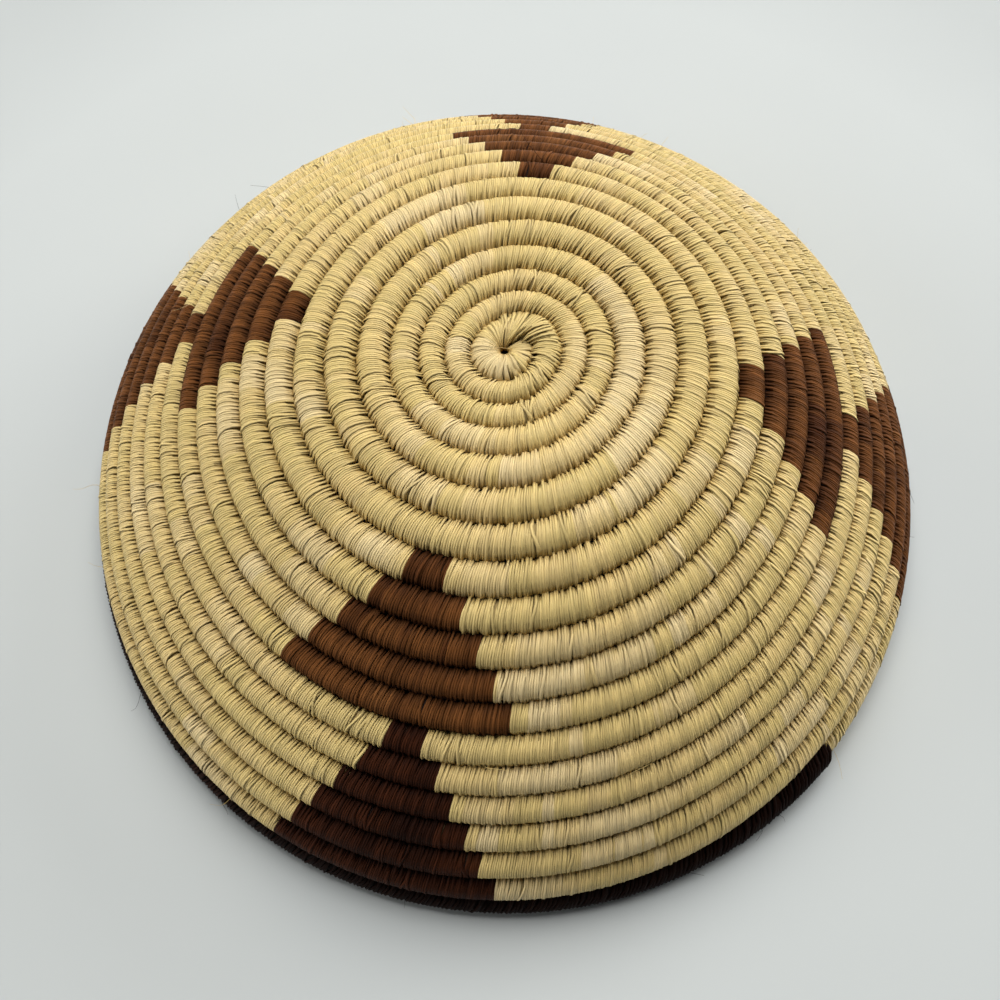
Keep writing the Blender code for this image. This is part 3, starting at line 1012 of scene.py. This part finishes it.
class BASKET_OT_fibres(StagePiece, Operator):
    """Grows the loose fibres on the strands and along the rim"""

    bl_idname = "basket.fibres"
    bl_label = "Loose fibres"

    def grow(self, name, turns, rises, usual, material, slot, random):
        coil = current_coil()
        middle, across, half_width = coil.sections(turns)
        direction = coil.direction(turns)
        count = len(turns)
        out = np.stack((np.cos(direction), np.sin(direction), np.zeros(count)), -1)
        up = np.tile((0.0, 0.0, 1.0), (count, 1))
        along = np.stack((np.sin(direction), -np.cos(direction), np.zeros(count)), -1)
        across_3d = out * across[:, :1] + up * across[:, 1:]
        off_3d = up * across[:, :1] - out * across[:, 1:]
        turned = rises[:, None]
        root = out * middle[:, :1] + up * middle[:, 1:]
        root = root + across_3d * np.cos(turned) * half_width[:, None]
        root = root + off_3d * np.sin(turned) * half_width[:, None] * coil.shape.thickness_share
        away = across_3d * np.cos(turned) + off_3d * np.sin(turned)
        past = off_3d * np.cos(turned) - across_3d * np.sin(turned)
        # what follows is in shares of a fibre's own length
        sizes = usual * random.lognormal(0.0, 0.45, count)[:, None]
        spread = random.normal(0.0, 1.0, (count, 5))
        lift = 0.14 + 0.10 * np.abs(spread[:, :1])
        heading = past * np.sign(spread[:, 1:2]) + along * 0.7 * spread[:, 2:3] + away * lift
        curl = along * 0.6 * spread[:, 3:4] - away * 0.10 + past * 0.4 * spread[:, 4:5]
        wave = along * 0.06 + away * 0.03
        attributes = {
            "root": root, "heading": heading * sizes, "curl": curl * sizes, "wave": wave * sizes,
            "tone": random.random(count), "jitter": random.random(count),
            # no painted groove shade on the fibres
            "groove": np.zeros(count),
        }
        tree = fibre_tree({"thickness": settings().fibres.thickness, "material": material})
        made = grown_mesh(name, root, attributes, tree)
        for vertex in made.data.vertices:
            if vertex.co.z < LOWEST_FIBRE:
                vertex.co.z = LOWEST_FIBRE
        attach(made, "root")

    def execute(self, context):
        coil = current_coil()
        fibres = settings().fibres
        random = np.random.default_rng(fibres.seed)
        total = coil.table_lengths[-1]
        rim_share = coil.length_at(coil.rim_start) / total
        spots = coil.at_length(random.uniform(0.0, rim_share, fibres.pale_count) * total)
        brown = [run[:2] for run in coil.brown_runs()]
        on_brown = np.array([any(a < spot < b for a, b in brown) for spot in spots])
        rises = random.choice(FIBRE_RISES, len(spots)) + random.normal(0.0, 0.3, len(spots))
        self.grow("loose_pale_fibres", spots[~on_brown], rises[~on_brown], fibres.pale_length,
                  pale_material(), "natural_raffia", random)
        rim = random.uniform(coil.rim_start, coil.end, fibres.dark_count)
        dark = np.concatenate((spots[on_brown], rim))
        dark_rises = np.concatenate((rises[on_brown], random.uniform(0.2, 1.4, len(rim))))
        self.grow("loose_dark_fibres", dark, dark_rises, fibres.dark_length,
                  rim_material(), "dark_raffia", random)
        return {"FINISHED"}


class BASKET_OT_stage(StagePiece, Operator):
    """Makes the floor, the light and the camera"""

    bl_idname = "basket.stage"
    bl_label = "Stage"

    def execute(self, context):
        self.make_floor()
        self.make_lamps()
        self.make_world(context)
        self.make_camera(context)
        return {"FINISHED"}

    def make_floor(self):
        mesh = bpy.data.meshes.new("floor")
        corners = [(x * FLOOR_SIDE, y * FLOOR_SIDE, 0) for x, y in FLOOR_CORNERS]
        mesh.from_pydata(corners, [], [(0, 1, 2, 3)])
        shader = Shader("floor", 0.6, 0.2)
        # mottled, with painted shade: a little darker further from the bowl, standing in for the
        # fall-off of the light and the lens
        place = {0: shader.object_place()}
        away = shader.node("ShaderNodeVectorMath", place, output="Value", operation="LENGTH")
        mottle = shader.noise(9.0, 3.0) * 0.06 + 0.97
        shade = mottle * (0.90 + self.share_left(away, 0.24, 0.07) * 0.10)
        mesh.materials.append(shader.finish(shader.scaled(settings().studio.floor, shade)))
        self.fade_into_backdrop(shader, away)
        made = new_object("floor", mesh)

    def share_left(self, away, start, reach):
        """1 up to the start, and down to 0 where the reach ends."""
        return (1.0 - (away - start).at_least(0.0) / reach).at_least(0.0)

    def fade_into_backdrop(self, shader, away):
        """Lets the camera see the backdrop's own colour where the floor is far away."""
        seen = shader.node("ShaderNodeEmission", {"Color": (*self.backdrop(), 1.0)})
        near = self.share_left(away, 0.40, 0.60)
        surface = Field(shader.tree, shader.surface.outputs["BSDF"])
        mixed = shader.seen_by_camera(1.0 - near * near, surface, seen)
        shader.link(mixed, shader.tree.nodes["Material Output"].inputs["Surface"])

    def backdrop(self):
        """The lit floor's colour as the camera sees it near the bowl."""
        return [part * settings().studio.floor_light for part in settings().studio.floor]

    def make_lamps(self):
        studio = settings().studio
        for side, (around, above) in LAMPS.items():
            data = bpy.data.lights.new(side + " lamp", "AREA")
            data.energy = getattr(studio, side + "_power")
            data.size = studio.lamp_size
            direction, rise = radians(around, above)
            level = Vector((math.cos(direction), math.sin(direction), 0.0)) * math.cos(rise)
            towards = level + Vector((0.0, 0.0, math.sin(rise)))
            lamp = new_object(side + " lamp", data)
            lamp.location = towards * studio.lamp_distance
            lamp.rotation_euler = towards.to_track_quat("Z", "Y").to_euler()

    def make_world(self, context):
        studio = settings().studio
        world = context.scene.world or bpy.data.worlds.new("studio")
        context.scene.world = world
        world.use_nodes = True
        made = NodeTree(world.node_tree)
        light = {"Color": (0.96, 0.98, 1.0, 1.0), "Strength": studio.sky}
        light = made.node("ShaderNodeBackground", light)
        seen = made.node("ShaderNodeBackground", {"Color": (*self.backdrop(), 1.0)})
        mixed = made.seen_by_camera(1.0, light, seen)
        made.link(mixed, made.tree.nodes["World Output"].inputs["Surface"])
        context.scene.view_settings.view_transform = "Standard"

    def make_camera(self, context):
        studio = settings().studio
        base = Vector((0.0, 0.0, float(current_coil().heights[0])))
        rise = studio.camera_elevation
        towards = Vector((0.0, math.cos(rise), -math.sin(rise)))
        right = Vector((1.0, 0.0, 0.0))
        up, level = turned_pair(right.cross(towards), towards, studio.aim_up)
        right, ahead = turned_pair(right, level, studio.aim_right)
        y_axis, x_axis = turned_pair(up, right, studio.camera_roll)
        data = bpy.data.cameras.new("camera")
        for name in ("lens", "shift_x", "shift_y"):
            setattr(data, name, getattr(studio, name))
        data.sensor_width = 36.0
        data.clip_start = 0.01
        camera = new_object("camera", data)
        turned = Matrix((x_axis, y_axis, -ahead)).transposed().to_4x4()
        camera.matrix_world = Matrix.Translation(base - towards * studio.camera_distance) @ turned
        context.scene.camera = camera


PIECES = (
    BASKET_OT_core, BASKET_OT_base, BASKET_OT_wall, BASKET_OT_motifs, BASKET_OT_rim,
    BASKET_OT_fibres, BASKET_OT_stage,
)


class BASKET_PT_panel(Panel):
    """The basket's pieces and sizes"""

    bl_label = "Coiled Basket Bowl"
    bl_idname = "BASKET_PT_panel"
    bl_space_type = "VIEW_3D"
    bl_region_type = "UI"
    bl_category = "Basket"

    def draw(self, context):
        column = self.layout.column()
        for piece in PIECES:
            column.operator(piece.bl_idname)
        basket = context.scene.basket_bowl
        for group in ("coil", "motifs", "strands", "fibres", "colours", "studio"):
            box = self.layout.box()
            box.label(text=group.capitalize())
            values = getattr(basket, group)
            for name in values.bl_rna.properties.keys():
                if name not in ("rna_type", "name"):
                    box.prop(values, name)


CLASSES = (
    CoilShape, MotifPattern, StrandSizes, FibreSizes, BasketColours, StudioSettings,
    BasketSettings, *PIECES, BASKET_PT_panel,
)


def register():
    for each in CLASSES:
        bpy.utils.register_class(each)
    bpy.types.Scene.basket_bowl = PointerProperty(type=BasketSettings)


def unregister():
    del bpy.types.Scene.basket_bowl
    for each in reversed(CLASSES):
        bpy.utils.unregister_class(each)


def main():
    register()
    for piece in PIECES:
        group, name = piece.bl_idname.split(".")
        getattr(getattr(bpy.ops, group), name)()


if __name__ == "__main__":
    main()
